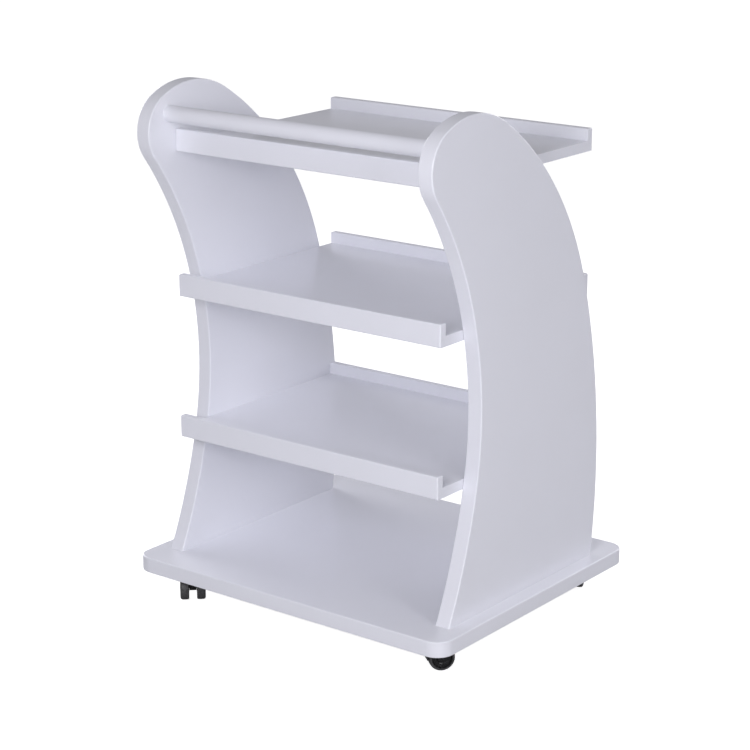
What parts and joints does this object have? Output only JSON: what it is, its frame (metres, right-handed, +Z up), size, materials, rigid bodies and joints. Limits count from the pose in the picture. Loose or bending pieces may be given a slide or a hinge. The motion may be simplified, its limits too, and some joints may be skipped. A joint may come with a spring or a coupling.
{
  "type": "rolling salon trolley",
  "caption": "White lacquered salon trolley: curved side panels on a broad base board carry lipped trays and a round handle rail, and it rolls on swivelling twin-wheel casters.",
  "frame": {"origin": "on the floor, under the centre of the base board", "axes": "+Z up, -Y to the front where the handle rail is, +X to the right-hand side seen from the front"},
  "size_m": [0.6, 0.508, 0.822],
  "materials": {
    "lacquered_board": "satin white lacquer over fibreboard",
    "lacquered_rail": "satin white lacquer over a solid wood rod",
    "zinc_steel": "bright zinc plated steel",
    "cam_alloy": "die-cast alloy",
    "beech_dowel": "bare beech",
    "caster_plastic": "black moulded nylon, semi-gloss",
    "caster_tyre": "dark grey rolling surface, satin"
  },
  "bodies": {
    "frame": {"base_board": "lacquered_board", "left_side_panel": "lacquered_board", "right_side_panel": "lacquered_board", "handle_rail": "lacquered_rail", "lower_tray_board": "lacquered_board", "lower_tray_front_lip": "lacquered_board", "lower_tray_rear_lip": "lacquered_board", "middle_tray_board": "lacquered_board", "middle_tray_front_lip": "lacquered_board", "middle_tray_rear_lip": "lacquered_board", "upper_tray_board": "lacquered_board", "upper_tray_front_lip": "lacquered_board", "upper_tray_rear_lip": "lacquered_board", "foot_screws": "zinc_steel", "foot_dowels": "beech_dowel", "cam_locks": "cam_alloy", "cam_bolts": "zinc_steel", "tray_dowels": "beech_dowel", "lip_dowels": "beech_dowel", "rail_dowels": "beech_dowel", "caster_screws": "zinc_steel", "caster_kingpins": "zinc_steel", "front_left_caster_plate": "zinc_steel", "front_right_caster_plate": "zinc_steel", "rear_left_caster_plate": "zinc_steel", "rear_right_caster_plate": "zinc_steel"},
    "front_left_swivel": {"front_left_caster_housing": "caster_plastic", "front_left_caster_axle": "zinc_steel"},
    "front_left_left_roller": {"front_left_caster_left_wheel": "caster_plastic", "front_left_caster_left_tyre": "caster_tyre"},
    "front_left_right_roller": {"front_left_caster_right_wheel": "caster_plastic", "front_left_caster_right_tyre": "caster_tyre"},
    "front_right_swivel": {"front_right_caster_housing": "caster_plastic", "front_right_caster_axle": "zinc_steel"},
    "front_right_left_roller": {"front_right_caster_left_wheel": "caster_plastic", "front_right_caster_left_tyre": "caster_tyre"},
    "front_right_right_roller": {"front_right_caster_right_wheel": "caster_plastic", "front_right_caster_right_tyre": "caster_tyre"},
    "rear_left_swivel": {"rear_left_caster_housing": "caster_plastic", "rear_left_caster_axle": "zinc_steel"},
    "rear_left_left_roller": {"rear_left_caster_left_wheel": "caster_plastic", "rear_left_caster_left_tyre": "caster_tyre"},
    "rear_left_right_roller": {"rear_left_caster_right_wheel": "caster_plastic", "rear_left_caster_right_tyre": "caster_tyre"},
    "rear_right_swivel": {"rear_right_caster_housing": "caster_plastic", "rear_right_caster_axle": "zinc_steel"},
    "rear_right_left_roller": {"rear_right_caster_left_wheel": "caster_plastic", "rear_right_caster_left_tyre": "caster_tyre"},
    "rear_right_right_roller": {"rear_right_caster_right_wheel": "caster_plastic", "rear_right_caster_right_tyre": "caster_tyre"}
  },
  "joints": [
    {"name": "front_left_swivel_turn", "type": "hinge", "parent": "frame", "child": "front_left_swivel", "pos_m": [-0.2335, -0.1935, 0.0436], "axis": [0, 0, 1], "continuous": true},
    {"name": "front_left_left_wheel_spin", "type": "hinge", "parent": "front_left_swivel", "child": "front_left_left_roller", "pos_m": [-0.2326, -0.21422, 0.02], "axis": [0.7431, 0.6691, 0], "continuous": true},
    {"name": "front_left_right_wheel_spin", "type": "hinge", "parent": "front_left_swivel", "child": "front_left_right_roller", "pos_m": [-0.21298, -0.19656, 0.02], "axis": [0.7431, 0.6691, 0], "continuous": true},
    {"name": "front_right_swivel_turn", "type": "hinge", "parent": "frame", "child": "front_right_swivel", "pos_m": [0.2335, -0.1935, 0.0436], "axis": [0, 0, 1], "continuous": true},
    {"name": "front_right_left_wheel_spin", "type": "hinge", "parent": "front_right_swivel", "child": "front_right_left_roller", "pos_m": [0.2539, -0.18973, 0.02], "axis": [-0.766, 0.6428, 0], "continuous": true},
    {"name": "front_right_right_wheel_spin", "type": "hinge", "parent": "front_right_swivel", "child": "front_right_right_roller", "pos_m": [0.23367, -0.17276, 0.02], "axis": [-0.766, 0.6428, 0], "continuous": true},
    {"name": "rear_left_swivel_turn", "type": "hinge", "parent": "frame", "child": "rear_left_swivel", "pos_m": [-0.2335, 0.1935, 0.0436], "axis": [0, 0, 1], "continuous": true},
    {"name": "rear_left_left_wheel_spin", "type": "hinge", "parent": "rear_left_swivel", "child": "rear_left_left_roller", "pos_m": [-0.21661, 0.20554, 0.02], "axis": [-0.9659, 0.2588, 0], "continuous": true},
    {"name": "rear_left_right_wheel_spin", "type": "hinge", "parent": "rear_left_swivel", "child": "rear_left_right_roller", "pos_m": [-0.24211, 0.21237, 0.02], "axis": [-0.9659, 0.2588, 0], "continuous": true},
    {"name": "rear_right_swivel_turn", "type": "hinge", "parent": "frame", "child": "rear_right_swivel", "pos_m": [0.2335, 0.1935, 0.0436], "axis": [0, 0, 1], "continuous": true},
    {"name": "rear_right_left_wheel_spin", "type": "hinge", "parent": "rear_right_swivel", "child": "rear_right_left_roller", "pos_m": [0.2387, 0.21358, 0.02], "axis": [-0.9063, -0.4226, 0], "continuous": true},
    {"name": "rear_right_right_wheel_spin", "type": "hinge", "parent": "rear_right_swivel", "child": "rear_right_right_roller", "pos_m": [0.21477, 0.20242, 0.02], "axis": [-0.9063, -0.4226, 0], "continuous": true}
  ]
}
